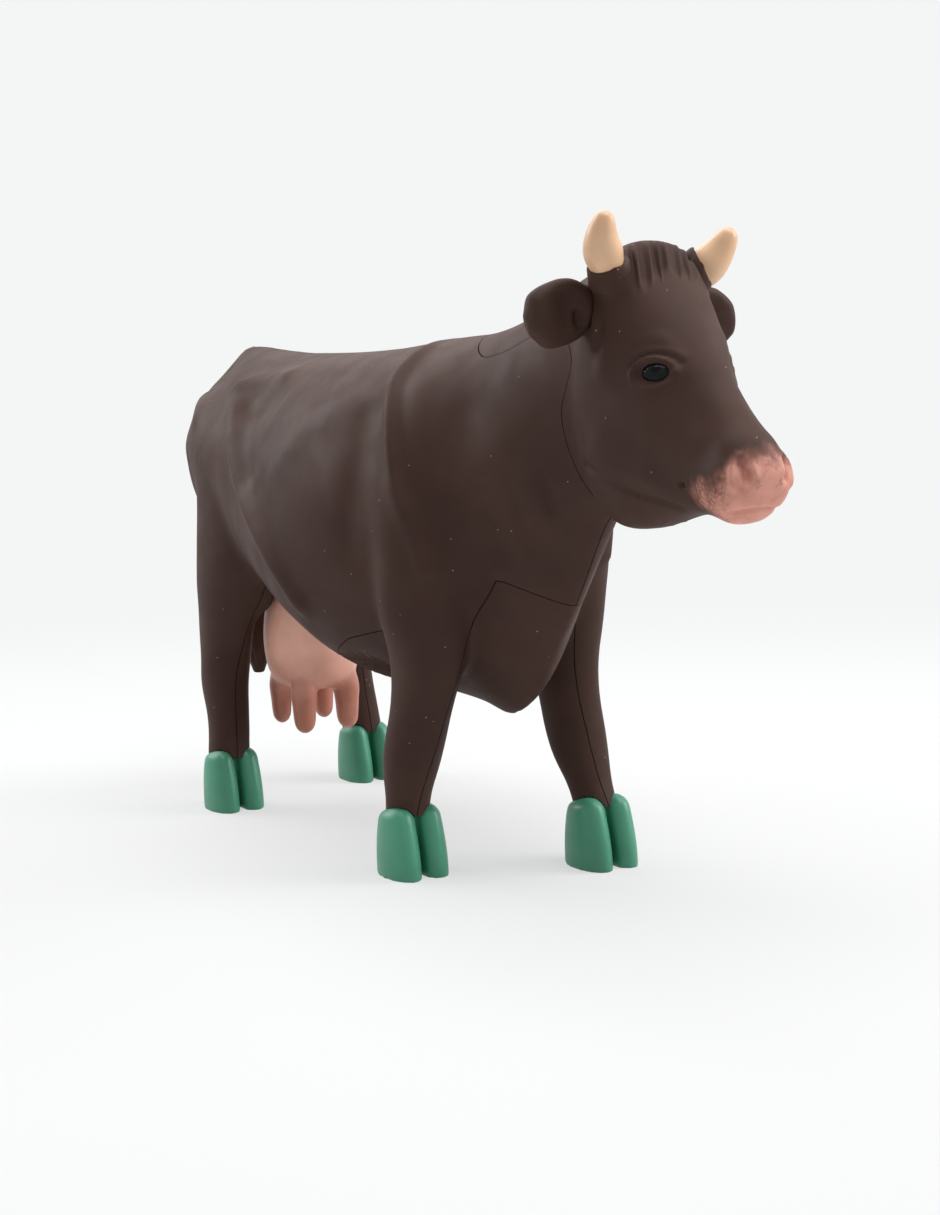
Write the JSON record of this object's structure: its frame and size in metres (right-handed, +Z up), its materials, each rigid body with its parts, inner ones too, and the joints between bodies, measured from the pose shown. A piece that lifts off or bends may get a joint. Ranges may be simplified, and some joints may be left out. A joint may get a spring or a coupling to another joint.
{
  "type": "toy farm animal figure",
  "caption": "Standing toy cow with a hollow moulded body, separate head, horns, ears, eyes, udder, hooves and a hanging tail.",
  "frame": {"origin": "centre of the figure's box on the ground, between the feet", "axes": "+X from tail to muzzle, +Y to the figure's left side, +Z up from the soles"},
  "size_m": [0.1589, 0.0486, 0.0937],
  "materials": {
    "body": "satin dark brown moulded plastic",
    "head": "satin dark brown moulded plastic with a sprayed pink muzzle",
    "horn": "satin cream plastic",
    "eye": "glossy painted bead",
    "udder": "matte pink plastic",
    "hoof": "satin teal-green plastic"
  },
  "bodies": {
    "root": {"body_shell_right": "body", "body_shell_left": "body", "underside_shell": "body", "neck_crest": "body", "head_shell": "head", "horn_right": "horn", "horn_left": "horn", "ear_right": "body", "ear_left": "body", "eye_right": "eye", "eye_left": "eye", "udder": "udder", "hoof_front_right": "hoof", "hoof_front_left": "hoof", "hoof_hind_right": "hoof", "hoof_hind_left": "hoof", "tail": "body"}
  },
  "joints": []
}
